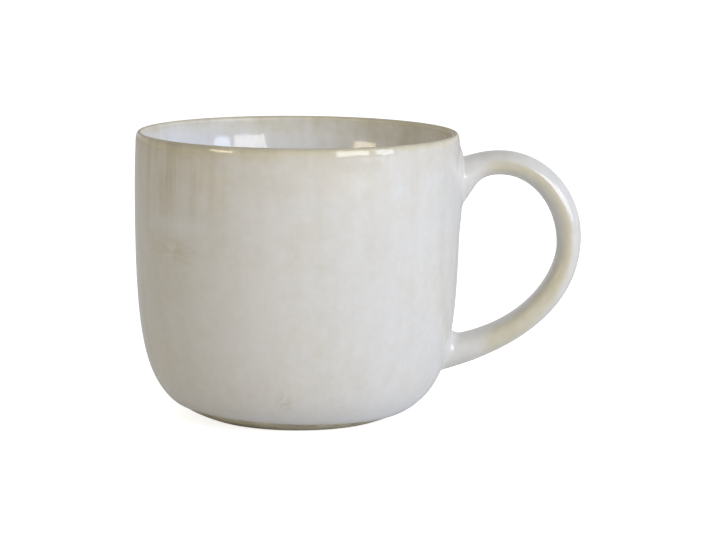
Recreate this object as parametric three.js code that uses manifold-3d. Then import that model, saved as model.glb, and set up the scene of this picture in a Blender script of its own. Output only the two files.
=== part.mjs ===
// A stoneware mug with a loop handle: a turned clay body, a clay handle luted on with slip
// at its two roots, and the glaze coats that cover everything but the foot.
// Millimetres, +Z up. The mug stands on z = 0 with its handle towards +X, and the origin is
// the middle of the floor space that it takes up, handle included.
import * as THREE from "three";
import { mergeVertices } from "three/addons/utils/BufferGeometryUtils.js";
import Module from "manifold-3d";

// Sizes of the vessel, over the glaze where it is glazed
const HEIGHT = 80;
const CUP_DIAMETER = 91; // at the belly, the widest place
const BELLY_BELOW_RIM = 16;
const RIM_DRAW_IN = 0.25; // how far the wall draws in from the belly to the lip, on each side
const LIP_THICKNESS = 2; // the top of the lip is half an oval of this thickness
const LIP_ROUNDING = 3; // height of that half oval on the outside
const LIP_INNER_ROUNDING = 1; // and on the inside
const WALL = 4.3; // halfway up
const LIP_TAPER = 14; // height in which the inside of the wall eases from its full thickness to the lip's
const FLOOR = 5; // clay between the recess below and the liner glaze above
const FLOOR_DIAMETER = 40; // flat part of the inside floor
const INSIDE_CORNER = 27; // height of the rounded corner between the inside wall and the floor

// The foot: a ring of bare clay round a shallow recess
const FOOT_DIAMETER = 50;
const FOOT_RING_WIDTH = 4.6;
const FOOT_RECESS = 2;
const RECESS_CHAMFER = 0.9;

// The outside profile leaves the foot at a low angle and sweeps up into the belly
const FOOT_ANGLE = 19; // degrees above the table
const FOOT_SWEEP = 17.6; // length of the curve's tangent at the foot
const BELLY_SWEEP = 49.5; // length of the curve's tangent at the belly

// Glaze and slip
const GLAZE = 0.4;
const GLAZE_LINE = 4.2; // height where the outside coat stops above the foot
const SLIP = 0.9; // thickness of the slip between the wall and the handle's roots

// The handle, over its glaze
const FINGER_GAP = 27.6; // from the wall to the inside of the grip
const HANDLE_THICKNESS = 6.8;
const HANDLE_WIDTH = 9.4;
const CREST_BELOW_RIM = 4.95; // the highest point of the loop
const CREST_OUT = 11.4; // how far the crest is from the wall
const GRIP_BELOW_CREST = 25.55; // the grip is where the loop stands out furthest
const GRIP_TILT = 1.9; // the outside of the loop stands out furthest this much higher than the inside

// The roots, where the loop flares on to the wall
const UPPER_ROOT_BELOW_RIM = 6.9; // to the root's upper end
const UPPER_ROOT_LENGTH = 13.8; // down the wall
const UPPER_ROOT_WIDTH = 12.4;
const LOWER_ROOT_HEIGHT = 12.4; // from the table to the root's lower end
const LOWER_ROOT_LENGTH = 10.2; // up the wall
const LOWER_ROOT_WIDTH = 11.6;

// Directions, in degrees above the level, in which the loop's two edges leave the wall
const UPPER_EDGE_RISE = 5;
const UPPER_FLARE_RISE = 42;
const LOWER_EDGE_RISE = 17;
const LOWER_FLARE_RISE = 10;

// Lengths of the edges' tangents: at the roots, and on the long sweep down from the grip
const UPPER_EDGE_SWEEP = 2;
const UPPER_FLARE_SWEEP = 5.7;
const LOWER_EDGE_SWEEP = 4.5;
const LOWER_FLARE_SWEEP = 23.7;
const GRIP_EDGE_SWEEP = 28.3;
const GRIP_FLARE_SWEEP = 6;
const CREST_EDGE_SWEEP = 5.8;
const CREST_FLARE_SWEEP = 7.6;

// How finely the curves are cut into facets
const FACETS = 48; // round the vessel
const SWEEP_STEPS = 11; // from the foot to the belly
const NECK_STEPS = 2; // from the belly to the lip
const LIP_STEPS = 5; // on each half of the lip
const TAPER_STEPS = 7; // down the lip's taper
const CORNER_STEPS = 8; // round the inside corner
const HANDLE_SIDES = 14;
const ROOT_STEPS = 9;
const CREST_STEPS = 10;
const DROP_STEPS = 14;
const SAME_POINT = 1e-4; // corners closer than this are one corner

const QUARTER = 0.552; // tangent length, as a share of the radius, that makes a cubic a quarter ellipse
const TAPER_START = 0.65; // tangent length at the upper end of the lip's taper, as a share of its height
const TAPER_END = 0.2; // and at its lower end
const bellyRadius = CUP_DIAMETER / 2 - GLAZE;
const bellyHeight = HEIGHT - BELLY_BELOW_RIM;
const rimRadius = bellyRadius - RIM_DRAW_IN;
const footRadius = FOOT_DIAMETER / 2;
const lipHalf = LIP_THICKNESS / 2 - GLAZE;
const lipRise = LIP_ROUNDING - GLAZE;
const lipCentre = new THREE.Vector2(rimRadius - lipHalf, HEIGHT - LIP_ROUNDING);
const floorTop = FOOT_RECESS + FLOOR;
const crestHeight = HEIGHT - CREST_BELOW_RIM;
const gripHeight = crestHeight - GRIP_BELOW_CREST;
const upperRootTop = HEIGHT - UPPER_ROOT_BELOW_RIM;
const upperRootBottom = upperRootTop - UPPER_ROOT_LENGTH;
const lowerRootTop = LOWER_ROOT_HEIGHT + LOWER_ROOT_LENGTH;

const wasm = await Module();
wasm.setup();

const radians = THREE.MathUtils.degToRad;
const along = (degrees) => new THREE.Vector2(Math.cos(radians(degrees)), Math.sin(radians(degrees)));

// A closed geometry as a solid that can be joined and cut
function solidFrom(geometry) {
  const bare = geometry.clone();
  bare.deleteAttribute("normal");
  bare.deleteAttribute("uv");
  const merged = mergeVertices(bare, SAME_POINT);
  const corners = merged.index.array;
  const triVerts = [];
  for (let i = 0; i < corners.length; i += 3) {
    const [a, b, c] = corners.subarray(i, i + 3);
    if (a !== b && b !== c && c !== a) triVerts.push(a, b, c);
  }
  const mesh = new wasm.Mesh({
    numProp: 3,
    vertProperties: merged.attributes.position.array,
    triVerts: new Uint32Array(triVerts),
  });
  return new wasm.Manifold(mesh);
}

function geometryFrom(solid) {
  const { vertProperties, triVerts } = solid.getMesh();
  const geometry = new THREE.BufferGeometry();
  geometry.setAttribute("position", new THREE.BufferAttribute(vertProperties, 3));
  geometry.setIndex(new THREE.BufferAttribute(triVerts, 1));
  return geometry.toNonIndexed();
}

// A profile of (radius, height) points turned round the vessel's axis. Its outer side runs upwards.
function turned(profile) {
  return solidFrom(new THREE.LatheGeometry(profile, FACETS).rotateX(Math.PI / 2));
}

const closed = (profile) => [...profile, profile[0].clone()];

// The points of a path, each of its curves cut into its own number of steps, and at each point
// the direction to the right of the way the path runs
function traced(path, steps) {
  const pointOn = (curve, t) => {
    const run = curve.getTangent(t);
    return { at: curve.getPoint(t), out: new THREE.Vector2(run.y, -run.x) };
  };
  const trace = [pointOn(path.curves[0], 0)];
  path.curves.forEach((curve, i) => {
    for (let step = 1; step <= steps[i]; step++) trace.push(pointOn(curve, step / steps[i]));
  });
  return trace;
}

// A traced path as a profile, grown to the right by a thickness
const skin = (trace, growth) => trace.map(({ at, out }) => at.clone().addScaledVector(out, growth));

// The clay's outside from the foot to the top of the lip
function clayOutside() {
  const path = new THREE.Path();
  const leave = along(FOOT_ANGLE).multiplyScalar(FOOT_SWEEP);
  const neckMiddle = (lipCentre.y + bellyHeight) / 2;
  path.moveTo(footRadius, 0);
  path.bezierCurveTo(
    footRadius + leave.x, leave.y,
    bellyRadius, bellyHeight - BELLY_SWEEP,
    bellyRadius, bellyHeight,
  );
  path.quadraticCurveTo(bellyRadius, neckMiddle, rimRadius, lipCentre.y);
  path.absellipse(lipCentre.x, lipCentre.y, lipHalf, lipRise, 0, Math.PI / 2);
  return traced(path, [SWEEP_STEPS, NECK_STEPS, LIP_STEPS]);
}

// The clay's inside from the top of the lip to the middle of the floor
function clayInside() {
  const path = new THREE.Path();
  const wall = bellyRadius + 2 * GLAZE - WALL;
  const flat = FLOOR_DIAMETER / 2;
  const lipLow = HEIGHT - LIP_INNER_ROUNDING;
  const taperEnd = lipLow - LIP_TAPER;
  const cornerTop = floorTop + INSIDE_CORNER;
  path.absellipse(lipCentre.x, lipLow, lipHalf, LIP_INNER_ROUNDING - GLAZE, Math.PI / 2, Math.PI);
  path.bezierCurveTo(
    lipCentre.x - lipHalf, lipLow - LIP_TAPER * TAPER_START,
    wall, taperEnd + LIP_TAPER * TAPER_END,
    wall, taperEnd,
  );
  path.lineTo(wall, cornerTop);
  path.bezierCurveTo(
    wall, cornerTop - INSIDE_CORNER * QUARTER,
    flat + (wall - flat) * QUARTER, floorTop,
    flat, floorTop,
  );
  path.lineTo(0, floorTop);
  return traced(path, [LIP_STEPS, TAPER_STEPS, 1, CORNER_STEPS, 1]);
}

// The underside from the middle of the recess to the edge of the foot
function clayUnderside() {
  const ring = footRadius - FOOT_RING_WIDTH;
  return [
    new THREE.Vector2(0, FOOT_RECESS),
    new THREE.Vector2(ring - RECESS_CHAMFER, FOOT_RECESS),
    new THREE.Vector2(ring, 0),
  ];
}

const outside = clayOutside();
const inside = clayInside();
const underside = clayUnderside();

// The place on the clay's outside at a height
function placeOnWall(height) {
  const above = outside.findIndex(({ at }) => at.y >= height);
  const low = outside[above - 1];
  const high = outside[above];
  const share = (height - low.at.y) / (high.at.y - low.at.y);
  return {
    at: low.at.clone().lerp(high.at, share),
    out: low.out.clone().lerp(high.out, share).normalize(),
  };
}

// The vessel filled to the axis and grown outwards, which cuts what sits on its wall
function filledVessel(growth) {
  const profile = skin(outside, growth);
  const bottom = new THREE.Vector2(0, profile[0].y);
  const top = new THREE.Vector2(0, profile.at(-1).y);
  return turned([bottom, ...profile, top]);
}

// One edge of the loop, seen from the side: root on the wall, crest, outermost point, root on the wall
function edgeOfLoop({ upper, crest, grip, lower }) {
  const cubic = (...points) => new THREE.CubicBezierCurve(...points);
  const rise = new THREE.Vector2(0, (crest.at.y - grip.at.y) * QUARTER);
  const reach = new THREE.Vector2((grip.at.x - crest.at.x) * QUARTER, 0);
  const level = new THREE.Vector2(crest.sweep, 0);
  const drop = new THREE.Vector2(0, grip.sweep);
  const leave = (root) => along(root.rise).multiplyScalar(root.sweep).add(root.at);
  return [
    cubic(upper.at, leave(upper), crest.at.clone().sub(level), crest.at),
    cubic(crest.at, crest.at.clone().add(reach), grip.at.clone().add(rise), grip.at),
    cubic(grip.at, grip.at.clone().sub(drop), leave(lower), lower.at),
  ];
}

const onWall = (height) => new THREE.Vector2(placeOnWall(height).at.x + GLAZE, height);
const crestX = onWall(crestHeight).x + CREST_OUT;
const gripX = onWall(gripHeight).x + FINGER_GAP;
const reachX = gripX + HANDLE_THICKNESS;

const outerEdge = edgeOfLoop({
  upper: { at: onWall(upperRootTop), rise: UPPER_EDGE_RISE, sweep: UPPER_EDGE_SWEEP },
  crest: { at: new THREE.Vector2(crestX, crestHeight), sweep: CREST_EDGE_SWEEP },
  grip: { at: new THREE.Vector2(reachX, gripHeight + GRIP_TILT / 2), sweep: GRIP_EDGE_SWEEP },
  lower: { at: onWall(LOWER_ROOT_HEIGHT), rise: LOWER_EDGE_RISE, sweep: LOWER_EDGE_SWEEP },
});
const innerEdge = edgeOfLoop({
  upper: { at: onWall(upperRootBottom), rise: UPPER_FLARE_RISE, sweep: UPPER_FLARE_SWEEP },
  crest: { at: new THREE.Vector2(crestX, crestHeight - HANDLE_THICKNESS), sweep: CREST_FLARE_SWEEP },
  grip: { at: new THREE.Vector2(gripX, gripHeight - GRIP_TILT / 2), sweep: GRIP_FLARE_SWEEP },
  lower: { at: onWall(lowerRootTop), rise: LOWER_FLARE_RISE, sweep: LOWER_FLARE_SWEEP },
});

// The loop's sections from root to root: the two edges' points and the width across.
// The width eases from each root's to the grip's, and both ends run on into the wall.
function loopSections() {
  const steps = [ROOT_STEPS, CREST_STEPS, DROP_STEPS];
  const rootWidths = [UPPER_ROOT_WIDTH, HANDLE_WIDTH, LOWER_ROOT_WIDTH];
  const sections = [];
  steps.forEach((count, leg) => {
    for (let step = leg === 0 ? 0 : 1; step <= count; step++) {
      const t = step / count;
      const nearRoot = leg === 0 ? 1 - t : leg === 2 ? t : 0;
      const width = THREE.MathUtils.lerp(HANDLE_WIDTH, rootWidths[leg], nearRoot ** 2);
      sections.push({ outer: outerEdge[leg].getPoint(t), inner: innerEdge[leg].getPoint(t), width });
    }
  });
  const sunk = ({ outer, inner, width }) => {
    const into = new THREE.Vector2(WALL / 2, 0);
    return { outer: outer.clone().sub(into), inner: inner.clone().sub(into), width };
  };
  return [sunk(sections[0]), ...sections, sunk(sections.at(-1))];
}

// The loop as a loft through oval sections, all of them drawn in by an inset
function loop(inset) {
  const positions = [];
  const index = [];
  const sections = loopSections();
  for (const { outer, inner, width } of sections) {
    const middle = outer.clone().add(inner).divideScalar(2);
    const thick = outer.clone().sub(middle);
    thick.setLength(thick.length() - inset);
    for (let side = 0; side < HANDLE_SIDES; side++) {
      const turn = (2 * Math.PI * side) / HANDLE_SIDES;
      const across = (width / 2 - inset) * Math.sin(turn);
      const point = middle.clone().addScaledVector(thick, Math.cos(turn));
      positions.push(point.x, across, point.y);
    }
  }
  const ring = (row, side) => row * HANDLE_SIDES + (side % HANDLE_SIDES);
  for (let row = 0; row + 1 < sections.length; row++) {
    for (let side = 0; side < HANDLE_SIDES; side++) {
      const [a, b] = [ring(row, side), ring(row, side + 1)];
      const [c, d] = [ring(row + 1, side), ring(row + 1, side + 1)];
      index.push(a, d, b, a, c, d);
    }
  }
  const last = sections.length - 1;
  for (let side = 1; side + 1 < HANDLE_SIDES; side++) {
    index.push(ring(0, 0), ring(0, side), ring(0, side + 1));
    index.push(ring(last, 0), ring(last, side + 1), ring(last, side));
  }
  const geometry = new THREE.BufferGeometry();
  geometry.setAttribute("position", new THREE.Float32BufferAttribute(positions, 3));
  geometry.setIndex(index);
  return solidFrom(geometry);
}

// A block round everything between two heights, which parts the two slip pads
function slab(low, high) {
  const side = 2 * (CUP_DIAMETER + reachX);
  const box = new THREE.BoxGeometry(side, side, high - low);
  return solidFrom(box.translate(0, 0, (low + high) / 2));
}

function bodySolid() {
  return turned([...underside, ...skin(outside, 0), ...skin(inside, 0).slice(1)]);
}

function outsideGlazeSolid(clayLoop, vessel) {
  const covered = [placeOnWall(GLAZE_LINE), ...outside.filter(({ at }) => at.y > GLAZE_LINE)];
  const wallCoat = turned(closed([...skin(covered, GLAZE), ...skin(covered, 0).reverse()]));
  const handleCoat = loop(0).subtract(vessel);
  return wallCoat.add(handleCoat).subtract(clayLoop);
}

function insideGlazeSolid() {
  return turned([...skin(inside, 0).reverse(), ...skin(inside, GLAZE)]);
}

function baseGlazeSolid() {
  const [middle, corner] = underside;
  const low = FOOT_RECESS - GLAZE;
  return turned([
    new THREE.Vector2(0, low),
    new THREE.Vector2(corner.x, low),
    corner,
    middle,
  ]);
}

const clay = { color: 0xb5aa90, roughness: 0.85, metalness: 0 };
const slip = { color: 0xa8987a, roughness: 0.9, metalness: 0 };
const glaze = { color: 0xd9d5cb, roughness: 0.18, metalness: 0 };

const mug = new THREE.Group();
const vessel = filledVessel(0);
const slipped = filledVessel(SLIP);
const clayLoop = loop(GLAZE);
const slipPads = clayLoop.intersect(slipped).subtract(vessel);
const betweenRoots = (upperRootBottom + lowerRootTop) / 2;

function addPiece(name, solid, finish) {
  const piece = new THREE.Mesh(geometryFrom(solid), new THREE.MeshStandardMaterial(finish));
  piece.name = name;
  mug.add(piece);
}

addPiece("body", bodySolid(), clay);
addPiece("handle", clayLoop.subtract(slipped), clay);
addPiece("upper_slip_joint", slipPads.intersect(slab(betweenRoots, 2 * HEIGHT)), slip);
addPiece("lower_slip_joint", slipPads.intersect(slab(-HEIGHT, betweenRoots)), slip);
addPiece("outside_glaze", outsideGlazeSolid(clayLoop, vessel), glaze);
addPiece("inside_glaze", insideGlazeSolid(), glaze);
addPiece("base_glaze", baseGlazeSolid(), glaze);

// The middle of the whole mug's length is brought over the origin
mug.position.x = (CUP_DIAMETER / 2 - reachX) / 2;

const part = new THREE.Group();
part.add(mug);
export default part;
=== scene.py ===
"""A stoneware mug with a loop handle, dressed over its CAD frame: the clay body with its bare foot,
the glaze coats inside, outside and under the foot, a plain pale floor and soft window light.

Shapes are worked out in millimetres with the mug's own axis at x = 0 and the table at z = 0.
"""

import math

import bpy
import numpy as np
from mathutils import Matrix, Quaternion, Vector

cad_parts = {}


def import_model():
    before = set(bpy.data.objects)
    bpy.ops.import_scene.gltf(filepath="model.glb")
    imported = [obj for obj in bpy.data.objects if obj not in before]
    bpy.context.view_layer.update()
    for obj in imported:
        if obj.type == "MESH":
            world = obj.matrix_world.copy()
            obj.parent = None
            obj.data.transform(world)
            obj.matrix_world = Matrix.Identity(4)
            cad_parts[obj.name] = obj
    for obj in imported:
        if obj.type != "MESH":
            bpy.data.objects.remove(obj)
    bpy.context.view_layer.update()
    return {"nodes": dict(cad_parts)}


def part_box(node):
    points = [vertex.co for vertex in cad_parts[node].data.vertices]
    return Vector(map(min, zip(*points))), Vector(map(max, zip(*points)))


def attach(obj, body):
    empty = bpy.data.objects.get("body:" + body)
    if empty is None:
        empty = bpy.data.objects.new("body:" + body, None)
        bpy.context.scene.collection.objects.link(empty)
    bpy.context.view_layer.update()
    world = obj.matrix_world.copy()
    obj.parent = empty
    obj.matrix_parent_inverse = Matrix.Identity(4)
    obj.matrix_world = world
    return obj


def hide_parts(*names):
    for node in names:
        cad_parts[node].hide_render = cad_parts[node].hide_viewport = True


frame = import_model()

MM = 0.001

# Sizes that the frame gives
body_low, body_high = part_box("body")
coat_low, coat_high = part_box("outside_glaze")
AXIS_X = (body_low.x + body_high.x) / 2 / MM
HEIGHT = coat_high.z / MM
BELLY = AXIS_X - coat_low.x / MM  # greatest radius, over the glaze
REACH = coat_high.x / MM - AXIS_X  # from the axis to the outside of the handle

# The vessel
BELLY_HEIGHT = HEIGHT - 16
RIM_DRAW_IN = 0.25  # how far the wall leans in between the belly and the lip
LIP_THICKNESS = 2.0
LIP_ROUNDING = 3.0  # height of the lip's rounded top on the outside
LIP_INNER_ROUNDING = 1.0
LIP_TAPER = 14  # height in which the inside of the wall eases into the lip
TAPER_EASES = (0.65, 0.2)  # tangents at the taper's upper and lower end, as shares of its height
WALL = 4.3
FLOOR_TOP = 7.0
FLOOR_RADIUS = 20.0  # of the flat part of the floor
INSIDE_CORNER = 27.0  # height of the rounded corner between floor and wall
FOOT_RADIUS = 25.0
FOOT_RING = 4.6
FOOT_RECESS = 2.0
RECESS_CHAMFER = 0.9
ROOF_EASE = (0.3, 0.1)  # how far the edge of the recess's roof is rounded, across and down
RING_INNER_EDGE = ((-0.35, 0.5), (-0.12, 0.16), (0.25, 0.0))  # round the foot ring's inner edge
RING_OUTER_EDGE = ((-0.5, 0.0), (-0.2, 0.02))  # round its outer edge, up to where the outside starts
OUTSIDE_START = 0.25  # length along the outside profile that the rounded outer edge takes up
FOOT_ANGLE = math.radians(19)
FOOT_SWEEP = 17.6  # length of the outside curve's tangent at the foot
BELLY_SWEEP = 49.5  # and at the belly
QUARTER = 0.552  # tangent length, as a share of the radius, that makes a cubic a quarter ellipse

# The glaze
GLAZE = 0.4
GLAZE_LINE = 3.2
BEAD = 2.5  # height of the rounded lower edge of the coat
BEAD_SWELL = 0.05  # how much thicker the coat pools above the line, as a share of its thickness
BEAD_REACH = 5.0
DIP = 2.0  # how far along the wall the glaze line is lower on the handle's side and higher opposite
DIP_REACH = 12.0

# The handle: its two edges, seen from the side
HANDLE_THICKNESS = 6.8
HANDLE_WIDTH = 9.4
GRIP = REACH - HANDLE_THICKNESS
CREST_HEIGHT = HEIGHT - 4.95
CREST_OUT = 11.4  # from the wall to the crest
GRIP_HEIGHT = CREST_HEIGHT - 25.55
GRIP_TILT = 1.9  # how much higher the outer edge reaches farthest out than the inner edge does
UPPER_ROOT = (HEIGHT - 20.7, HEIGHT - 6.9)  # heights of its lower and upper ends on the wall
LOWER_ROOT = (12.4, 22.6)
UPPER_ROOT_WIDTH = 12.4
LOWER_ROOT_WIDTH = 11.6

# How the handle's edges run: degrees above the level at the roots, and lengths of the tangents
OUTER_RUN = {
    "upper_rise": 5, "upper_sweep": 2, "crest_sweep": 5.8,
    "grip_sweep": 28.3, "lower_rise": 17, "lower_sweep": 4.5,
}
INNER_RUN = {
    "upper_rise": 42, "upper_sweep": 5.7, "crest_sweep": 7.6,
    "grip_sweep": 6.0, "lower_rise": 10, "lower_sweep": 23.7,
}

# Where the handle meets the wall
UPPER_START = 0.15  # share of the first leg that the fillet of the upper root takes up
LOWER_END = 0.955  # share of the last leg at which the fillet of the lower root starts
UPPER_FILLET = (0.5, 1.3)  # spread over the wall on the outer and inner side of the loop
LOWER_FILLET = (1.0, 2.0)
NEAR_SEAT = 0.98  # share of the way to the fillet's seat from which it takes its direction
COLLAR_ABOVE = 0.95  # how far the wall swells at the upper root's upper end
COLLAR_BELOW = 0.55
COLLAR_REACH_ABOVE = 4.5  # and how far from the root it fades out
COLLAR_REACH_BELOW = 10.0

# How finely the surfaces are cut
TURNS = 256  # columns round the vessel
PATCH = 20  # wall cells on each side of the square patch round a root
RING = 4 * PATCH  # points round the handle
PATCH_RINGS = 7
FILLET_RINGS = 8
TUBE_RINGS = (34, 40, 56)  # along the handle's three legs
WALL_CELL = 1.1
BEAD_CELLS = 7
LIP_CELLS = 20
LINER_CELLS = (LIP_CELLS, 30, 12, 40, 10)  # down the lip, its taper, the wall, the corner and the floor
FINE_FOOT = 6  # length along the clay's outside profile whose rows are close together
CLAY_ROWS = (24, 70, 80)  # along that length, the rest of the outside and the inside
BASE_RINGS = (0.4, 0.8)  # places of the base coat's rings, as shares of its radius
BASE_EDGE_CELLS = 6
FINE = np.linspace(0, 1, 400)
ON_AXIS = 1e-6  # a smaller radius counts as a point on the axis
SHARP_ANGLE = math.radians(35)

# Colours of the glaze from its thinnest, over the edge of the lip, to its thickest, pooled at the foot
OLIVE = (0.48, 0.44, 0.33)
KHAKI = (0.62, 0.57, 0.42)
WARM_WHITE = (0.68, 0.645, 0.565)
OFF_WHITE = (0.70, 0.685, 0.645)
POOLED = (0.72, 0.72, 0.735)
LINER_WARM = (0.76, 0.74, 0.68)
LINER_WHITE = (0.79, 0.79, 0.785)
LINER_POOLED = (0.80, 0.815, 0.84)
SHADE_STOPS = (0.0, 0.25, 0.5, 0.68, 1.0)
OUTSIDE_SHADES = list(zip(SHADE_STOPS, (OLIVE, KHAKI, WARM_WHITE, OFF_WHITE, POOLED)))
LINER_SHADES = list(zip(SHADE_STOPS, (OLIVE, KHAKI, LINER_WARM, LINER_WHITE, LINER_POOLED)))

# Patterns in the glaze: stretch, grains to the metre, detail, weights in its thickness and brightness
EVEN = (1, 1, 1)
PATTERNS = {
    "cloud": (EVEN, 38, 3, 0.35, 0.0),
    "patches": (EVEN, 170, 2, 0.16, 0.06),
    "streaks": ((1, 1, 0.12), 260, 2, 0.10, 0.05),
    "mottle": (EVEN, 520, 2, 0.12, 0.06),
}
LIP_BAND = 16.0  # how far below the rim the coat is thinner
POOL = 14.0  # how far above the table it is thicker
GLOSS = (0.06, 0.11)  # roughness where the cloud is thin and where it is thick
CLOUD_RANGE = (0.3, 0.7)
DRY_ROUGHNESS = 0.6  # at the very edge of the lip
RIPPLES = ((160, 1, 1.0), (430, 1, 0.3), (900, 2, 0.08))  # grains to the metre, detail and weight
LUMPS = (280, 1)  # grains to the metre and detail
LUMPS_REACH = 9.0  # how far below the rim the coat is lumpy
RIPPLE_STRENGTH = 0.25
RIPPLE_DEPTH = 0.2

# Marks that the pouring left on the coat: azimuth, height, half width and half height of the place, its
# grain as stretch, grains to the metre, detail and range of the noise, and what it adds to the thickness
MARKS = (
    ((-50, 70, 22, 17), ((1, 1, 0.06), 330, 1, 0.45, 0.62), -0.24),  # runs below the rim
    ((-46, 57.5, 14, 3.5), None, 0.18),  # a pale lap under them
    ((-47, 50.5, 13, 4.5), ((0.5, 0.5, 1.6), 300, 2, 0.42, 0.58), -0.24),  # a smear
    ((-5, 10.5, 3.2, 3.2), (EVEN, 1100, 2, 0.45, 0.55), -0.24),  # a rough patch above the foot
)
MARKS_SHADE = 0.35  # how much paler or darker a mark is, as a share of the thickness that it adds

# Painted shade on the handle's two sides: the coat is made thinner, so darker and khaki, where they face the
# cup and down, away from the windows
HANDLE_START = 48.5  # distance from the axis beyond which the coat lies on the handle
HANDLE_FADE = 8.0  # distance in which the painted shade sets in
HANDLE_PAINTED_SHADE = 0.36  # how much thinner the coat is made there at most, as painted shade
PAINTED_SHADE_FACING = Vector((-0.85, 0, -0.5))  # towards the middle of the cup and down
PAINTED_SHADE_STOPS = [(0.33, 0.0), (0.46, 1.0), (0.67, 1.0), (0.87, 0.0)]  # 0 faces away from there, 1 faces it
PAINTED_SHADE_SIDEWAYS = (0.3, 0.75)  # how far the surface faces sideways, for no painted shade and for all of it

# The clay
STONEWARE = (0.60, 0.555, 0.425)
SLIP = (0.33, 0.28, 0.18)
CLAY_MOTTLE = (220, 4, 0.6)  # grains to the metre, detail and roughness of the noise
CLAY_GRIT = (2600, 2, 0.6)
CLAY_SHADES = ((0.3, 0.72), (0.52, 1.0), (0.75, 1.25))  # brightness over the mottling
GRAIN_RANGE = (0.30, 0.36)  # below it the grit shows as dark grains
GRAIN_SHADE = 0.45
CLAY_ROUGHNESS = 0.82
CLAY_SPECULAR = 0.15
GRIT_STRENGTH = 0.5
GRIT_DEPTH = 0.1

# The floor and the background
PALE = 0.85  # how white the background is in reflections
FLOOR_PALE = 0.15  # less, because the floor is lit as well
FLOOR_GREY = 0.82
FLOOR_GRAIN = (30, 3)  # grains to the metre and detail of the noise
FLOOR_GRAIN_RANGE = (0.3, 0.7)  # where it is darkest and where it is palest
FLOOR_UNEVEN = 0.98  # the floor's darkest grey, as a share of the palest
FLOOR_WHITE = 0.8
FLOOR_ROUGHNESS = 0.9
FLOOR_SIDE = 8.0  # metres

# Light: angles in degrees
AMBIENT = (0.169, 0.160, 0.136)
GLOWS = (  # soft light from one side: azimuth, elevation and colour
    (-90, 0, (0.05, 0.045, 0.035)),
    (-5, 0, (0.10, 0.095, 0.09)),
    (55, 0, (0.26, 0.37, 0.60)),
    (130, 0, (0.21, 0.21, 0.24)),
    (180, 45, (0.33, 0.33, 0.34)),
    (-150, 15, (0.09, 0.09, 0.09)),
)
GLOW_FOCUS = 2.0  # power of the cosine with which a glow fades
LAMPS = (  # name, azimuth, elevation, width and height in metres, radiance and colour
    ("window_right", 38.5, 15.5, 0.44, 0.43, 6.7, (1.0, 0.97, 0.95)),
    ("window_far_right", 62, 15.5, 0.24, 0.43, 7.3, (0.74, 0.82, 1.0)),
    ("lamp_left", -55, 15, 0.32, 0.17, 9.0, (1.0, 0.86, 0.58)),
)
LAMP_DISTANCE = 1.0  # metres

# Camera: angles in degrees, distance and aim in metres, lens and sensor in millimetres
CAMERA_AZIMUTH = -1.234
CAMERA_ELEVATION = 8.714
CAMERA_DISTANCE = 0.8
CAMERA_ROLL = 0.509
CAMERA_AIM = (0.0, 0.0, 0.0409)
CAMERA_LENS = 142.93
CAMERA_SENSOR = 36


def direction(azimuth, elevation):
    """Unit vector towards a place round the mug: azimuth 0 is the front, 90 is +X."""
    a, e = math.radians(azimuth), math.radians(elevation)
    return Vector((math.sin(a) * math.cos(e), -math.cos(a) * math.cos(e), math.sin(e)))


def eased(share):
    """A share held between 0 and 1 that sets in and ends softly."""
    share = np.clip(share, 0, 1)
    return share * share * (3 - 2 * share)


def full_turn(count):
    """Angles of equal steps once round."""
    return 2 * math.pi * np.arange(count) / count


# Profiles of the clay


def bezier(points, t):
    """Places on a Bezier curve at the parameters t, and the unit directions in which it runs."""
    legs = [np.outer(np.ones_like(t), point) for point in points]
    while len(legs) > 2:
        legs = [a + (b - a) * t[:, None] for a, b in zip(legs, legs[1:])]
    run = legs[1] - legs[0]
    return legs[0] + run * t[:, None], run / np.linalg.norm(run, axis=1, keepdims=True)


def oval(centre, half, rise, start, end):
    """The same for a stretch of an upright oval from one angle to another, counter-clockwise."""
    turn = start + (end - start) * FINE
    at = np.array(centre) + np.stack([half * np.cos(turn), rise * np.sin(turn)], 1)
    run = np.stack([-half * np.sin(turn), rise * np.cos(turn)], 1)
    return at, run / np.linalg.norm(run, axis=1, keepdims=True)


class Outline:
    """A profile of radius and height, measured by the length along it."""

    def __init__(self, *curves):
        self.at = np.concatenate([at for at, run in curves])
        run = np.concatenate([run for at, run in curves])
        self.out = np.stack([run[:, 1], -run[:, 0]], 1)
        steps = np.linalg.norm(np.diff(self.at, axis=0), axis=1)
        self.far = np.concatenate([[0], np.cumsum(steps)])
        self.length = self.far[-1]

    def grown(self, along, growth=0.0):
        """Radius and height at lengths along the profile, moved outwards by a growth."""
        spots = [np.interp(along, self.far, self.at[:, i]) for i in (0, 1)]
        outs = [np.interp(along, self.far, self.out[:, i]) for i in (0, 1)]
        return [spot + growth * out for spot, out in zip(spots, outs)]

    def along_at(self, height):
        """The length along the profile, which rises all the way, at a height."""
        return np.interp(height, self.at[:, 1], self.far)

    def steps(self, curve, count):
        """Lengths along the profile at equal steps of one of its curves."""
        first = curve * len(FINE)
        return np.interp(np.linspace(0, 1, count + 1), FINE, self.far[first:first + len(FINE)])


clay_belly = BELLY - GLAZE
clay_rim = clay_belly - RIM_DRAW_IN
lip_half = LIP_THICKNESS / 2 - GLAZE
lip_rise = LIP_ROUNDING - GLAZE
lip_centre = (clay_rim - lip_half, HEIGHT - LIP_ROUNDING)


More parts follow.
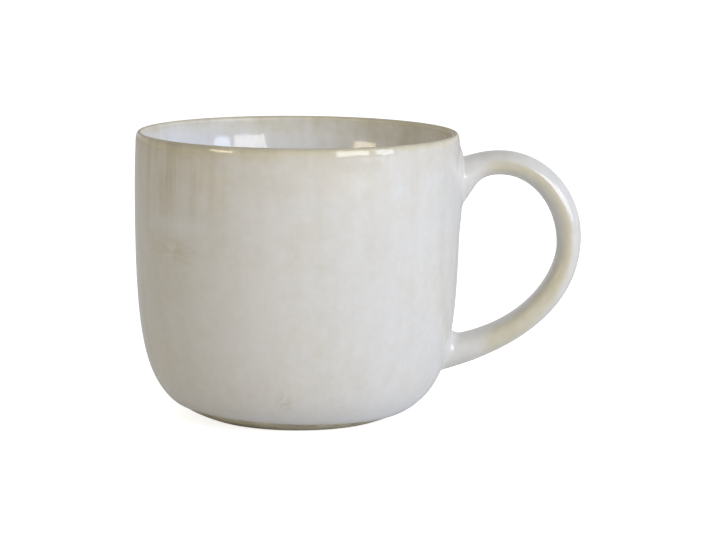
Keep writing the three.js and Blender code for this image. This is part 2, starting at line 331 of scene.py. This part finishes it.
def clay_outside():
    """From the foot's outer edge up to the top of the lip: the belly, the neck and the lip."""
    leave = (FOOT_RADIUS + FOOT_SWEEP * math.cos(FOOT_ANGLE), FOOT_SWEEP * math.sin(FOOT_ANGLE))
    arrive = (clay_belly, BELLY_HEIGHT - BELLY_SWEEP)
    belly = (clay_belly, BELLY_HEIGHT)
    neck = (clay_belly, (BELLY_HEIGHT + lip_centre[1]) / 2)
    return Outline(
        bezier([(FOOT_RADIUS, 0), leave, arrive, belly], FINE),
        bezier([belly, neck, (clay_rim, lip_centre[1])], FINE),
        oval(lip_centre, lip_half, lip_rise, 0, math.pi / 2),
    )


def clay_inside():
    """From the top of the lip down to the middle of the floor."""
    wall = clay_belly + 2 * GLAZE - WALL
    lip_low = HEIGHT - LIP_INNER_ROUNDING
    taper_end = lip_low - LIP_TAPER
    corner_top = FLOOR_TOP + INSIDE_CORNER
    lip = lip_centre[0] - lip_half
    upper_ease, lower_ease = (LIP_TAPER * share for share in TAPER_EASES)
    taper = [(lip, lip_low), (lip, lip_low - upper_ease), (wall, taper_end + lower_ease), (wall, taper_end)]
    corner = [
        (wall, corner_top),
        (wall, corner_top - INSIDE_CORNER * QUARTER),
        (FLOOR_RADIUS + (wall - FLOOR_RADIUS) * QUARTER, FLOOR_TOP),
        (FLOOR_RADIUS, FLOOR_TOP),
    ]
    return Outline(
        oval((lip_centre[0], lip_low), lip_half, LIP_INNER_ROUNDING - GLAZE, math.pi / 2, math.pi),
        bezier(taper, FINE),
        bezier([(wall, taper_end), (wall, corner_top)], FINE),
        bezier(corner, FINE),
        bezier([(FLOOR_RADIUS, FLOOR_TOP), (0, FLOOR_TOP)], FINE),
    )


outside = clay_outside()
inside = clay_inside()
OUTSIDE_LIP = 2  # which of the outside's curves is the lip


# Meshes


def mesh_object(name, points, faces, material):
    """A smooth-shaded mesh from points in millimetres about the mug's axis, kept sharp at hard edges."""
    used, places = np.unique(np.concatenate([np.ravel(f) for f in faces]), return_inverse=True)
    corners = np.split(places, np.cumsum([len(f) for f in faces])[:-1])
    spots = (np.asarray(points)[used] + (AXIS_X, 0, 0)) * MM
    mesh = bpy.data.meshes.new(name)
    mesh.from_pydata(spots.tolist(), [], [corner.tolist() for corner in corners])
    mesh.validate()
    mesh.polygons.foreach_set("use_smooth", [True] * len(mesh.polygons))
    mesh.set_sharp_from_angle(angle=SHARP_ANGLE)
    mesh.materials.append(material)
    piece = bpy.data.objects.new(name, mesh)
    bpy.context.scene.collection.objects.link(piece)
    return piece


def lathe(name, profile, material):
    """A closed turned solid: a profile of (radius, height) whose outer side runs upwards."""
    profile = np.asarray(profile, float)
    turn = full_turn(TURNS)
    points, rows = [], []
    for radius, height in profile:
        count = 1 if radius < ON_AXIS else TURNS
        ring = np.stack([radius * np.cos(turn), radius * np.sin(turn), np.full(TURNS, height)], 1)[:count]
        rows.append(len(points) + np.resize(np.arange(count), TURNS))
        points.extend(ring)
    faces = []
    closed = profile[0][0] > ON_AXIS
    for low, high in zip(rows, rows[1:] + (rows[:1] if closed else [])):
        for k in range(TURNS):
            after = (k + 1) % TURNS
            corner = [low[k], low[after], high[after], high[k]]
            faces.append([c for i, c in enumerate(corner) if c not in corner[:i]])
    return mesh_object(name, points, [f for f in faces if len(f) > 2], material)


# The outside coat: the wall


def root_place(root):
    """The middle of a root along the wall's profile, and half its length."""
    low, high = (outside.along_at(height) for height in root)
    return (low + high) / 2, (high - low) / 2


def root_bump(along, across):
    """How far the wall swells round the handle's upper root, at lengths along and across the wall."""
    middle, half_high = root_place(UPPER_ROOT)
    up = (along - middle) / half_high
    out = np.hypot(up, across / (UPPER_ROOT_WIDTH / 2))
    high = np.clip(0.5 + 0.5 * up / np.maximum(out, 1), 0, 1)
    swell = COLLAR_BELOW + (COLLAR_ABOVE - COLLAR_BELOW) * high
    reach = COLLAR_REACH_BELOW + (COLLAR_REACH_ABOVE - COLLAR_REACH_BELOW) * high
    return swell * eased(1 - (out - 1) * half_high / reach)


def coat_thickness(along):
    """The outside coat's thickness: rounded off at the glaze line and a little thicker just above it."""
    up = np.maximum(along - outside.along_at(GLAZE_LINE), 0)
    edge = np.sqrt(1 - (1 - np.minimum(up / BEAD, 1)) ** 2)
    return GLAZE * edge * (1 + BEAD_SWELL * np.exp(-((up - BEAD) / BEAD_REACH) ** 2))


def askew(along, turn):
    """Lengths along the wall, moved down near the glaze line on the handle's side and up opposite."""
    near = eased(1 - (along - outside.along_at(GLAZE_LINE)) / DIP_REACH)
    return along - DIP * np.cos(turn) * near


def wall(along, turn, coat):
    """Points on the outside wall: on the clay where coat is 0, on the glaze where it is 1."""
    radius, height = outside.grown(askew(along, turn), coat * coat_thickness(along))
    across = np.where(np.cos(turn) > 0, radius * np.sin(turn), np.inf)  # none on the far side
    radius = radius + root_bump(along, across)
    return np.stack([radius * np.cos(turn), radius * np.sin(turn), height + 0 * radius], -1)


def coat_rows():
    """Lengths along the outside profile of the wall's rows, fine at the coat's edge and at the lip."""
    start = outside.along_at(GLAZE_LINE)
    lip = outside.along_at(lip_centre[1])
    bead = start + BEAD * (1 - np.cos(np.linspace(0, math.pi / 2, BEAD_CELLS + 1)))
    cells = round((lip - bead[-1]) / WALL_CELL)
    straight = np.linspace(bead[-1], lip, cells + 1)
    return np.concatenate([bead, straight[1:], outside.steps(OUTSIDE_LIP, LIP_CELLS)[1:]])


# The outside coat: the handle


def on_wall(height):
    """The place on the glazed wall at a height."""
    return (float(outside.grown(outside.along_at(height), GLAZE)[0]), height)


def moved(at, angle, far):
    """A place moved by a length, at an angle in degrees above the level."""
    turn = math.radians(angle)
    return (at[0] + far * math.cos(turn), at[1] + far * math.sin(turn))


def loop_edge(
    root, crest, grip, end, upper_rise, upper_sweep, crest_sweep, grip_sweep, lower_rise, lower_sweep,
):
    """One edge of the handle, as three Bezier curves: root to crest, crest to grip, grip to the end."""
    reach = (grip[0] - crest[0]) * QUARTER
    drop = (crest[1] - grip[1]) * QUARTER
    return [
        [root, moved(root, upper_rise, upper_sweep), moved(crest, 180, crest_sweep), crest],
        [crest, moved(crest, 0, reach), moved(grip, 90, drop), grip],
        [grip, moved(grip, -90, grip_sweep), moved(end, lower_rise, lower_sweep), end],
    ]


crest_x = on_wall(CREST_HEIGHT)[0] + CREST_OUT
OUTER_EDGE = loop_edge(
    root=on_wall(UPPER_ROOT[1]),
    crest=(crest_x, CREST_HEIGHT),
    grip=(REACH, GRIP_HEIGHT + GRIP_TILT / 2),
    end=on_wall(LOWER_ROOT[0]),
    **OUTER_RUN,
)
INNER_EDGE = loop_edge(
    root=on_wall(UPPER_ROOT[0]),
    crest=(crest_x, CREST_HEIGHT - HANDLE_THICKNESS),
    grip=(GRIP, GRIP_HEIGHT - GRIP_TILT / 2),
    end=on_wall(LOWER_ROOT[1]),
    **INNER_RUN,
)


def loop_rings(leg, t, coat):
    """Rings of the handle at the parameters t of one leg of its edges."""
    outer, inner = (bezier(edge[leg], t)[0] for edge in (OUTER_EDGE, INNER_EDGE))
    root_width = (UPPER_ROOT_WIDTH, HANDLE_WIDTH, LOWER_ROOT_WIDTH)[leg]
    near_root = (1 - t, 0 * t, t)[leg] ** 2
    width = HANDLE_WIDTH + (root_width - HANDLE_WIDTH) * near_root
    inset = GLAZE * (1 - coat)
    middle = (outer + inner) / 2
    thick = outer - middle
    half = np.linalg.norm(thick, axis=1, keepdims=True)
    thick = thick * (half - inset) / half
    turn = full_turn(RING)
    side = middle[:, None] + thick[:, None] * np.cos(turn)[None, :, None]
    across = (width / 2 - inset)[:, None] * np.sin(turn)[None]
    return np.stack([side[..., 0], across, side[..., 1]], -1)


def patch_border(middle_row, outer_side):
    """Rows and columns round a square patch of the wall, from the middle of the handle's outer side on."""
    half = PATCH // 2
    out = [(half, j) for j in range(0, half)]
    out += [(i, half) for i in range(half, -half, -1)]
    out += [(-half, j) for j in range(half, -half, -1)]
    out += [(i, -half) for i in range(-half, half)]
    out += [(half, j) for j in range(-half, 0)]
    border = np.array(out)
    return middle_row + outer_side * border[:, 0], border[:, 1] % TURNS


def from_handle(column):
    """Columns of the wall counted from the handle: up to half a turn one way, negative the other way."""
    return (column + TURNS // 2) % TURNS - TURNS // 2


def root_rings(rows, middle_row, outer_side, root, root_width, fillet, tube, coat):
    """Rings from the patch's border over the wall to the root, and on over its fillet to the tube."""
    border_row, border_column = patch_border(middle_row, outer_side)
    border = np.stack([rows[border_row], from_handle(border_column) * 2 * math.pi / TURNS], 1)
    middle, half = root_place(root)
    turn = full_turn(RING)
    spread = fillet[0] + (fillet[1] - fillet[0]) * (0.5 - 0.5 * np.cos(turn))
    along = middle + outer_side * (half + spread) * np.cos(turn)
    across = (root_width / 2 + spread) * np.sin(turn)
    seat = np.stack([along, across / outside.grown(along, GLAZE)[0]], 1)

    def towards_seat(share):
        return wall(*(border + (seat - border) * share).T, coat)

    rings = [towards_seat(step / PATCH_RINGS) for step in range(1, PATCH_RINGS + 1)]
    start, end = rings[-1], tube[0]
    gap = np.linalg.norm(end - start, axis=1, keepdims=True)
    leave = start - towards_seat(NEAR_SEAT)
    arrive = tube[1] - tube[0]
    leave *= gap / np.linalg.norm(leave, axis=1, keepdims=True)
    arrive *= gap / np.linalg.norm(arrive, axis=1, keepdims=True)
    for step in range(1, FILLET_RINGS):
        t = step / FILLET_RINGS
        rings.append(
            (1 + 2 * t) * (1 - t) ** 2 * start + t * (1 - t) ** 2 * leave
            + t * t * (3 - 2 * t) * end - t * t * (1 - t) * arrive
        )
    return rings


# The pieces


def wall_faces(number, middles):
    """Faces between the wall's numbered points, left out in the square patches round the two roots."""
    half = PATCH // 2
    faces = []
    for i in range(len(number) - 1):
        for j in range(TURNS):
            if -half <= from_handle(j) < half and any(-half <= i - m < half for m in middles):
                continue
            after = (j + 1) % TURNS
            faces.append([number[i, j], number[i, after], number[i + 1, after], number[i + 1, j]])
    return faces


def handle_rings(rows, middles, coat):
    """Rings from the patch round the upper root along the handle to the patch round the lower root."""
    tube = np.concatenate([
        loop_rings(0, np.linspace(UPPER_START, 1, TUBE_RINGS[0]), coat),
        loop_rings(1, np.linspace(0, 1, TUBE_RINGS[1])[1:], coat),
        loop_rings(2, np.linspace(0, LOWER_END, TUBE_RINGS[2])[1:], coat),
    ])
    upper = root_rings(rows, middles[0], 1, UPPER_ROOT, UPPER_ROOT_WIDTH, UPPER_FILLET, tube, coat)
    lower = root_rings(rows, middles[1], -1, LOWER_ROOT, LOWER_ROOT_WIDTH, LOWER_FILLET, tube[::-1], coat)
    return np.array([*upper, *tube, *lower[::-1]])


def coat_skin(coat):
    """Points and faces of the outside coat's skin, wall and handle in one, and its first and last rows."""
    rows = coat_rows()
    grid = wall(rows[:, None], full_turn(TURNS)[None], coat).reshape(-1, 3)
    number = np.arange(len(grid)).reshape(len(rows), TURNS)
    middles = [int(np.argmin(abs(rows - root_place(root)[0]))) for root in (UPPER_ROOT, LOWER_ROOT)]
    faces = wall_faces(number, middles)
    rings = handle_rings(rows, middles, coat)
    chain = len(grid) + np.arange(len(rings) * RING).reshape(len(rings), RING)
    chain = np.concatenate([
        [number[patch_border(middles[0], 1)]], chain, [number[patch_border(middles[1], -1)]],
    ])
    for a, b in zip(chain, chain[1:]):
        for k in range(RING):
            after = (k + 1) % RING
            faces.append([a[k], b[k], b[after], a[after]])
    return np.concatenate([grid, rings.reshape(-1, 3)]), faces, number[0], number[-1]


def outside_coat(material):
    points, faces, low, high = coat_skin(1.0)
    back, _, _, _ = coat_skin(0.0)
    behind = len(points) + np.arange(len(back))
    behind[low] = low  # the two skins meet in one edge at the glaze line
    both = faces + [[behind[c] for c in reversed(face)] for face in faces]
    for k in range(TURNS):
        after = (k + 1) % TURNS
        both.append([high[k], high[after], behind[high[after]], behind[high[k]]])
    return mesh_object("outer_coat", np.concatenate([points, back]), both, material)


def inside_coat(material):
    stretches = [inside.steps(curve, count) for curve, count in enumerate(LINER_CELLS)]
    along = np.concatenate([stretches[0], *[stretch[1:] for stretch in stretches[1:]]])
    skin = np.stack(inside.grown(along, GLAZE), 1)
    back = np.stack(inside.grown(along), 1)
    return lathe("liner_coat", np.concatenate([back[::-1], skin]), material)


def clay_body(material):
    ring = FOOT_RADIUS - FOOT_RING
    roof = ring - RECESS_CHAMFER
    foot = [(0, FOOT_RECESS), (roof - ROOF_EASE[0], FOOT_RECESS), (roof, FOOT_RECESS - ROOF_EASE[1])]
    foot += [(ring + across, up) for across, up in RING_INNER_EDGE]
    foot += [(FOOT_RADIUS + across, up) for across, up in RING_OUTER_EDGE]
    fine = np.linspace(OUTSIDE_START, FINE_FOOT, CLAY_ROWS[0])
    coarse = np.linspace(FINE_FOOT, outside.length, CLAY_ROWS[1])
    outer = outside.grown(np.concatenate([fine, coarse[1:]]))
    inner = inside.grown(np.linspace(0, inside.length, CLAY_ROWS[2])[1:])
    return lathe("clay_body", np.concatenate([foot, np.stack(outer, 1), np.stack(inner, 1)]), material)


def base_coat(material):
    edge = FOOT_RADIUS - FOOT_RING - RECESS_CHAMFER
    low = FOOT_RECESS - GLAZE
    flat = [(0, low), *[(edge * share, low) for share in BASE_RINGS]]
    rounding = [
        (edge - GLAZE + GLAZE * math.sin(a), FOOT_RECESS - GLAZE * math.cos(a))
        for a in np.linspace(0, math.pi / 2, BASE_EDGE_CELLS + 1)
    ]
    return lathe("base_coat", [*flat, *rounding, (0, FOOT_RECESS)], material)


# Nodes of the materials


def add(tree, kind, inputs=None, **settings):
    """A node with its settings, and its inputs as numbers or as other nodes' outputs."""
    node = tree.nodes.new(kind)
    for name, value in settings.items():
        setattr(node, name, value)
    for key, value in (inputs or {}).items():
        if isinstance(value, bpy.types.NodeSocket):
            tree.links.new(value, node.inputs[key])
        else:
            node.inputs[key].default_value = value
    return node


def blank_material(name):
    material = bpy.data.materials.new(name)
    material.use_nodes = True
    tree = material.node_tree
    shader = tree.nodes["Principled BSDF"]
    return material, tree, shader


def calc(tree, operation, a, b=0.0, clamp=False):
    return add(tree, "ShaderNodeMath", {0: a, 1: b}, operation=operation, use_clamp=clamp).outputs[0]


def along_vector(tree, where, vector):
    """How far a place or a direction reaches along a vector."""
    return add(tree, "ShaderNodeVectorMath", {0: where, 1: vector}, operation="DOT_PRODUCT").outputs["Value"]


def rescaled(tree, value, low, high, to_low=0.0, to_high=1.0, curve="LINEAR"):
    """A value that runs from low to high, spread over another range and held inside it."""
    ranges = {"Value": value, "From Min": low, "From Max": high, "To Min": to_low, "To Max": to_high}
    return add(tree, "ShaderNodeMapRange", ranges, interpolation_type=curve).outputs[0]


def noise(tree, where, scale, detail=2.0, roughness=0.5):
    inputs = {"Vector": where, "Scale": scale, "Detail": detail, "Roughness": roughness}
    return add(tree, "ShaderNodeTexNoise", inputs).outputs["Fac"]


def stretched_noise(tree, where, stretch, scale, detail):
    if stretch != EVEN:
        where = add(tree, "ShaderNodeMapping", {"Vector": where, "Scale": stretch}).outputs[0]
    return noise(tree, where, scale, detail)


def ramp(tree, share, stops):
    """A colour ramp from (place, colour) stops; a single number stands for a grey."""
    node = add(tree, "ShaderNodeValToRGB", {"Fac": share})
    elements = node.color_ramp.elements
    while len(elements) < len(stops):
        elements.new(0.5)
    for element, (place, colour) in zip(elements, stops):
        element.position = place
        element.color = (*((colour,) * 3 if isinstance(colour, (int, float)) else colour), 1)
    return node.outputs["Color"]


def blend(tree, share, a, b, mode="MIX"):
    node = add(tree, "ShaderNodeMix", {"Factor": share}, data_type="RGBA", blend_type=mode)
    for socket, value in ((node.inputs[6], a), (node.inputs[7], b)):  # the node's two colours
        if isinstance(value, bpy.types.NodeSocket):
            tree.links.new(value, socket)
        else:
            socket.default_value = (*value, 1)
    return node.outputs[2]


def sum_of(tree, *terms):
    """The terms added up; each is a socket, or a pair of a socket and its weight about a middle of 0.5."""
    total = 0.0
    for term in terms:
        if isinstance(term, tuple):
            term = calc(tree, "MULTIPLY", calc(tree, "SUBTRACT", term[0], 0.5), term[1])
        total = calc(tree, "ADD", total, term)
    return total


# The glaze


def patch_on_wall(tree, where, azimuth, height, half_width, half_height):
    """1 at a place on the wall, fading to 0 at the edge of an oval round it; sizes in millimetres."""
    centre = Vector((AXIS_X, 0, height)) * MM
    local = add(tree, "ShaderNodeVectorMath", {0: where, 1: centre}, operation="SUBTRACT").outputs[0]
    facing = along_vector(tree, local, direction(azimuth, 0))
    across = along_vector(tree, local, direction(azimuth + 90, 0))
    up = add(tree, "ShaderNodeSeparateXYZ", {0: local}).outputs["Z"]
    across = calc(tree, "POWER", calc(tree, "DIVIDE", across, half_width * MM), 2.0)
    up = calc(tree, "POWER", calc(tree, "DIVIDE", up, half_height * MM), 2.0)
    far = calc(tree, "SQRT", calc(tree, "ADD", across, up))
    near = calc(tree, "SUBTRACT", 1.0, far, clamp=True)
    return calc(tree, "MULTIPLY", near, calc(tree, "GREATER_THAN", facing, 0.0))


def marks(tree, where):
    """What the pouring left on the coat, as a change of its thickness."""
    total = 0.0
    for place, grain, weight in MARKS:
        mark = patch_on_wall(tree, where, *place)
        if grain:
            *pattern, low, high = grain
            spots = ramp(tree, stretched_noise(tree, where, *pattern), [(low, 0.0), (high, 1.0)])
            mark = calc(tree, "MULTIPLY", spots, mark)
        total = calc(tree, "ADD", total, calc(tree, "MULTIPLY", mark, weight))
    return total


def painted_handle_shade(tree, from_axis):
    """Painted shade on the handle's two sides: a thinner, darker, khaki coat where they face the cup and
    down, away from the windows.
    """
    on_handle = rescaled(tree, from_axis, HANDLE_START, HANDLE_START + HANDLE_FADE, curve="SMOOTHSTEP")
    normal = add(tree, "ShaderNodeNewGeometry").outputs["Normal"]
    facing = calc(tree, "MULTIPLY", along_vector(tree, normal, PAINTED_SHADE_FACING), 0.5)
    facing = ramp(tree, calc(tree, "ADD", facing, 0.5), PAINTED_SHADE_STOPS)
    sideways = calc(tree, "ABSOLUTE", add(tree, "ShaderNodeSeparateXYZ", {0: normal}).outputs["Y"])
    sideways = rescaled(tree, sideways, *PAINTED_SHADE_SIDEWAYS, curve="SMOOTHSTEP")
    painted_shade = calc(tree, "MULTIPLY", on_handle, calc(tree, "MULTIPLY", facing, sideways))
    return calc(tree, "MULTIPLY", painted_shade, -HANDLE_PAINTED_SHADE)


def glaze_thickness(tree, height, below_rim, from_axis, streaks, lip_stops, pool_stops, tilt, dip):
    """How thick the coat is, from stops over the millimetres below the rim and above the table.

    For each millimetre away from the handle, the thin band at the lip reaches lower by the share tilt,
    and the pool at the foot starts higher by dip. The liner's negative tilt is partly painted light and
    shade:
    the inside is more khaki and darker on the handle's side, where it lies in shade, and whiter opposite,
    where the windows light it.
    """
    ragged = calc(tree, "MULTIPLY", calc(tree, "ADD", streaks, 0.5), below_rim)
    lean = calc(tree, "SUBTRACT", 1.0, calc(tree, "MULTIPLY", from_axis, tilt))
    ragged = calc(tree, "DIVIDE", calc(tree, "DIVIDE", ragged, lean), LIP_BAND)
    lip = ramp(tree, ragged, [(mm / LIP_BAND, thickness) for mm, thickness in lip_stops])
    above = calc(tree, "ADD", height, calc(tree, "MULTIPLY", from_axis, dip))
    above = calc(tree, "DIVIDE", above, POOL)
    pool = ramp(tree, above, [(mm / POOL, thickness) for mm, thickness in pool_stops])
    return sum_of(tree, lip, (pool, 1.0))


def glaze_relief(tree, where, below_rim, lumpy):
    """Fine ripples all over the coat, and lumps at the lip."""
    ripple = sum_of(tree, *[(noise(tree, where, scale, detail), weight) for scale, detail, weight in RIPPLES])
    at_lip = calc(tree, "SUBTRACT", 1.0, calc(tree, "DIVIDE", below_rim, LUMPS_REACH), clamp=True)
    lumps = calc(tree, "MULTIPLY", calc(tree, "MULTIPLY", noise(tree, where, *LUMPS), at_lip), lumpy)
    surface = sum_of(tree, ripple, lumps)
    relief = {"Height": surface, "Strength": RIPPLE_STRENGTH, "Distance": RIPPLE_DEPTH * MM}
    return add(tree, "ShaderNodeBump", relief).outputs[0]


def glaze(name, shades, lip_stops, pool_stops, tilt, dip, marks_and_handle_shade, dry_edge, lumpy):
    """Glossy off-white glaze: khaki where it is thin and a cool white where it pools.

    The dry edge is the height of the matt edge of the lip, in millimetres.
    """
    material, tree, shader = blank_material(name)
    where = add(tree, "ShaderNodeTexCoord").outputs["Object"]
    parts = add(tree, "ShaderNodeSeparateXYZ", {0: where}).outputs
    height = calc(tree, "DIVIDE", parts["Z"], MM)
    below_rim = calc(tree, "SUBTRACT", HEIGHT, height)
    from_axis = calc(tree, "DIVIDE", calc(tree, "SUBTRACT", parts["X"], AXIS_X * MM), MM)
    grain, tints, brightness = {}, [], []
    for pattern, (stretch, scale, detail, tint, shade) in PATTERNS.items():
        grain[pattern] = stretched_noise(tree, where, stretch, scale, detail)
        tints.append((grain[pattern], tint))
        brightness.append((grain[pattern], shade))

    thick = glaze_thickness(
        tree, height, below_rim, from_axis, grain["streaks"], lip_stops, pool_stops, tilt, dip,
    )
    thick = sum_of(tree, thick, *tints)
    bright = calc(tree, "ADD", 1.0, sum_of(tree, *brightness))
    if marks_and_handle_shade:
        poured = marks(tree, where)
        # the pouring marks, and the painted shade on the handle's sides
        thick = sum_of(tree, thick, poured, painted_handle_shade(tree, from_axis))
        bright = calc(tree, "ADD", bright, calc(tree, "MULTIPLY", poured, MARKS_SHADE))
    colour = ramp(tree, thick, shades)
    colour = add(tree, "ShaderNodeVectorMath", {0: colour, "Scale": bright}, operation="SCALE").outputs[0]
    tree.links.new(colour, shader.inputs["Base Color"])

    dry = calc(tree, "SUBTRACT", 1.0, calc(tree, "DIVIDE", below_rim, dry_edge), clamp=True)
    gloss = rescaled(tree, grain["cloud"], *CLOUD_RANGE, *GLOSS)
    roughness = calc(tree, "MAXIMUM", gloss, calc(tree, "MULTIPLY", dry, DRY_ROUGHNESS))
    tree.links.new(roughness, shader.inputs["Roughness"])
    tree.links.new(glaze_relief(tree, where, below_rim, lumpy), shader.inputs["Normal"])
    return material


def clay(name, colour):
    """Bare fired clay: matt, mottled and finely gritty."""
    material, tree, shader = blank_material(name)
    where = add(tree, "ShaderNodeTexCoord").outputs["Object"]
    mottle = noise(tree, where, *CLAY_MOTTLE)
    grit = noise(tree, where, *CLAY_GRIT)
    shade = ramp(tree, mottle, [(place, tuple(k * c for c in colour)) for place, k in CLAY_SHADES])
    low, high = GRAIN_RANGE
    bare = calc(tree, "SUBTRACT", 1.0, ramp(tree, grit, [(low, 0.0), (high, 1.0)]))
    grains = blend(tree, bare, shade, tuple(GRAIN_SHADE * c for c in colour))
    tree.links.new(grains, shader.inputs["Base Color"])
    shader.inputs["Roughness"].default_value = CLAY_ROUGHNESS
    shader.inputs["Specular IOR Level"].default_value = CLAY_SPECULAR
    relief = {"Height": grit, "Strength": GRIT_STRENGTH, "Distance": GRIT_DEPTH * MM}
    tree.links.new(add(tree, "ShaderNodeBump", relief).outputs[0], shader.inputs["Normal"])
    return material


# Floor, light and camera


def background(tree, pale):
    """How white the background is: 1 to the camera, pale to gloss and glass, 0 to other rays."""
    path = add(tree, "ShaderNodeLightPath").outputs
    indirect = calc(tree, "MAXIMUM", path["Is Glossy Ray"], path["Is Transmission Ray"])
    return calc(tree, "MAXIMUM", path["Is Camera Ray"], calc(tree, "MULTIPLY", indirect, pale))


def floor_material():
    """Pale and matt. It is white where it is seen, keeps the mug's shadow, and can't be seen from below."""
    material, tree, shader = blank_material("floor")
    where = add(tree, "ShaderNodeTexCoord").outputs["Object"]
    uneven = list(zip(FLOOR_GRAIN_RANGE, (FLOOR_GREY * FLOOR_UNEVEN, FLOOR_GREY)))
    tree.links.new(ramp(tree, noise(tree, where, *FLOOR_GRAIN), uneven), shader.inputs["Base Color"])
    shader.inputs["Roughness"].default_value = FLOOR_ROUGHNESS
    shader.inputs["Specular IOR Level"].default_value = 0.0
    shader.inputs["Emission Color"].default_value = (1, 1, 1, 1)
    white = calc(tree, "MULTIPLY", background(tree, FLOOR_PALE), FLOOR_WHITE)
    tree.links.new(white, shader.inputs["Emission Strength"])
    clear = add(tree, "ShaderNodeBsdfTransparent").outputs[0]
    below = add(tree, "ShaderNodeNewGeometry").outputs["Backfacing"]
    either = add(tree, "ShaderNodeMixShader", {0: below, 1: shader.outputs[0], 2: clear})
    tree.links.new(either.outputs[0], tree.nodes["Material Output"].inputs["Surface"])
    return material


def floor():
    half = FLOOR_SIDE / 2
    corners = [(-half, -half, 0), (half, -half, 0), (half, half, 0), (-half, half, 0)]
    mesh = bpy.data.meshes.new("floor")
    mesh.from_pydata(corners, [], [(0, 1, 2, 3)])
    mesh.materials.append(floor_material())
    plane = bpy.data.objects.new("floor", mesh)
    bpy.context.scene.collection.objects.link(plane)


def world():
    scene = bpy.context.scene
    scene.world = bpy.data.worlds.new("studio")
    scene.world.use_nodes = True
    tree = scene.world.node_tree
    towards = add(tree, "ShaderNodeTexCoord").outputs["Generated"]
    sky = AMBIENT
    for azimuth, elevation, colour in GLOWS:
        share = along_vector(tree, towards, direction(azimuth, elevation))
        share = calc(tree, "POWER", calc(tree, "MAXIMUM", share, 0.0), GLOW_FOCUS)
        sky = blend(tree, share, sky, colour, "ADD")
    white = background(tree, PALE)
    sky = blend(tree, calc(tree, "GREATER_THAN", white, 0.0), sky, white)
    tree.links.new(sky, tree.nodes["Background"].inputs["Color"])


def lamp(name, azimuth, elevation, width, height, radiance, colour):
    """A flat soft light of a given radiance that faces the mug."""
    light = bpy.data.lights.new(name, "AREA")
    light.shape = "RECTANGLE"
    light.size = width
    light.size_y = height
    light.energy = radiance * math.pi * width * height
    light.color = colour
    panel = bpy.data.objects.new(name, light)
    towards = direction(azimuth, elevation)
    panel.location = Vector((AXIS_X * MM, 0, HEIGHT / 2 * MM)) + LAMP_DISTANCE * towards
    panel.rotation_mode = "QUATERNION"
    panel.rotation_quaternion = (-towards).to_track_quat("-Z", "Y")
    panel.visible_camera = False
    bpy.context.scene.collection.objects.link(panel)


def camera():
    data = bpy.data.cameras.new("camera")
    data.lens = CAMERA_LENS
    data.sensor_width = CAMERA_SENSOR
    eye = bpy.data.objects.new("camera", data)
    towards = direction(CAMERA_AZIMUTH, CAMERA_ELEVATION)
    eye.location = Vector(CAMERA_AIM) + CAMERA_DISTANCE * towards
    eye.rotation_mode = "QUATERNION"
    roll = Quaternion((0, 0, 1), math.radians(CAMERA_ROLL))
    eye.rotation_quaternion = (-towards).to_track_quat("-Z", "Y") @ roll
    bpy.context.scene.collection.objects.link(eye)
    bpy.context.scene.camera = eye


# The scene

outside_glaze = glaze(
    "outside_glaze",
    shades=OUTSIDE_SHADES,
    lip_stops=[(0, 0.0), (0.5, 0.1), (1.2, 0.27), (2.4, 0.42), (3.6, 0.52), (8, 0.56), (16, 0.65)],
    pool_stops=[(2.7, 0.1), (3.6, 0.6), (4.6, 0.72), (7, 0.58), (13, 0.5)],
    tilt=0.01,
    dip=0.027,
    marks_and_handle_shade=True,
    dry_edge=0.5,
    lumpy=2.5,
)
liner_glaze = glaze(
    "liner_glaze",
    shades=LINER_SHADES,
    # the deep khaki band and the negative tilt are partly painted shade on the inside's right and painted
    # window light on its whiter left
    lip_stops=[(0, 0.05), (0.5, 0.28), (1.2, 0.38), (4, 0.45), (7, 0.57), (11, 0.7), (14, 0.76)],
    pool_stops=[(0, 0.65), (8, 0.62), (14, 0.5)],
    tilt=-0.017,
    dip=0.0,
    marks_and_handle_shade=False,
    dry_edge=2.0,
    lumpy=0.0,
)
stoneware = clay("stoneware", STONEWARE)
slip = clay("slip", SLIP)

for piece, node, slot in (
    (outside_coat(outside_glaze), "outside_glaze", "glaze"),
    (inside_coat(liner_glaze), "inside_glaze", "liner_glaze"),
    (base_coat(liner_glaze), "base_glaze", "liner_glaze"),
    (clay_body(stoneware), "body", "stoneware"),
):
    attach(piece, "root")
    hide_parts(node)

for node, material in (("handle", stoneware), ("upper_slip_joint", slip), ("lower_slip_joint", slip)):
    frame["nodes"][node].data.materials.clear()
    frame["nodes"][node].data.materials.append(material)

floor()
world()
for settings in LAMPS:
    lamp(*settings)
camera()
bpy.context.scene.view_settings.view_transform = "Standard"
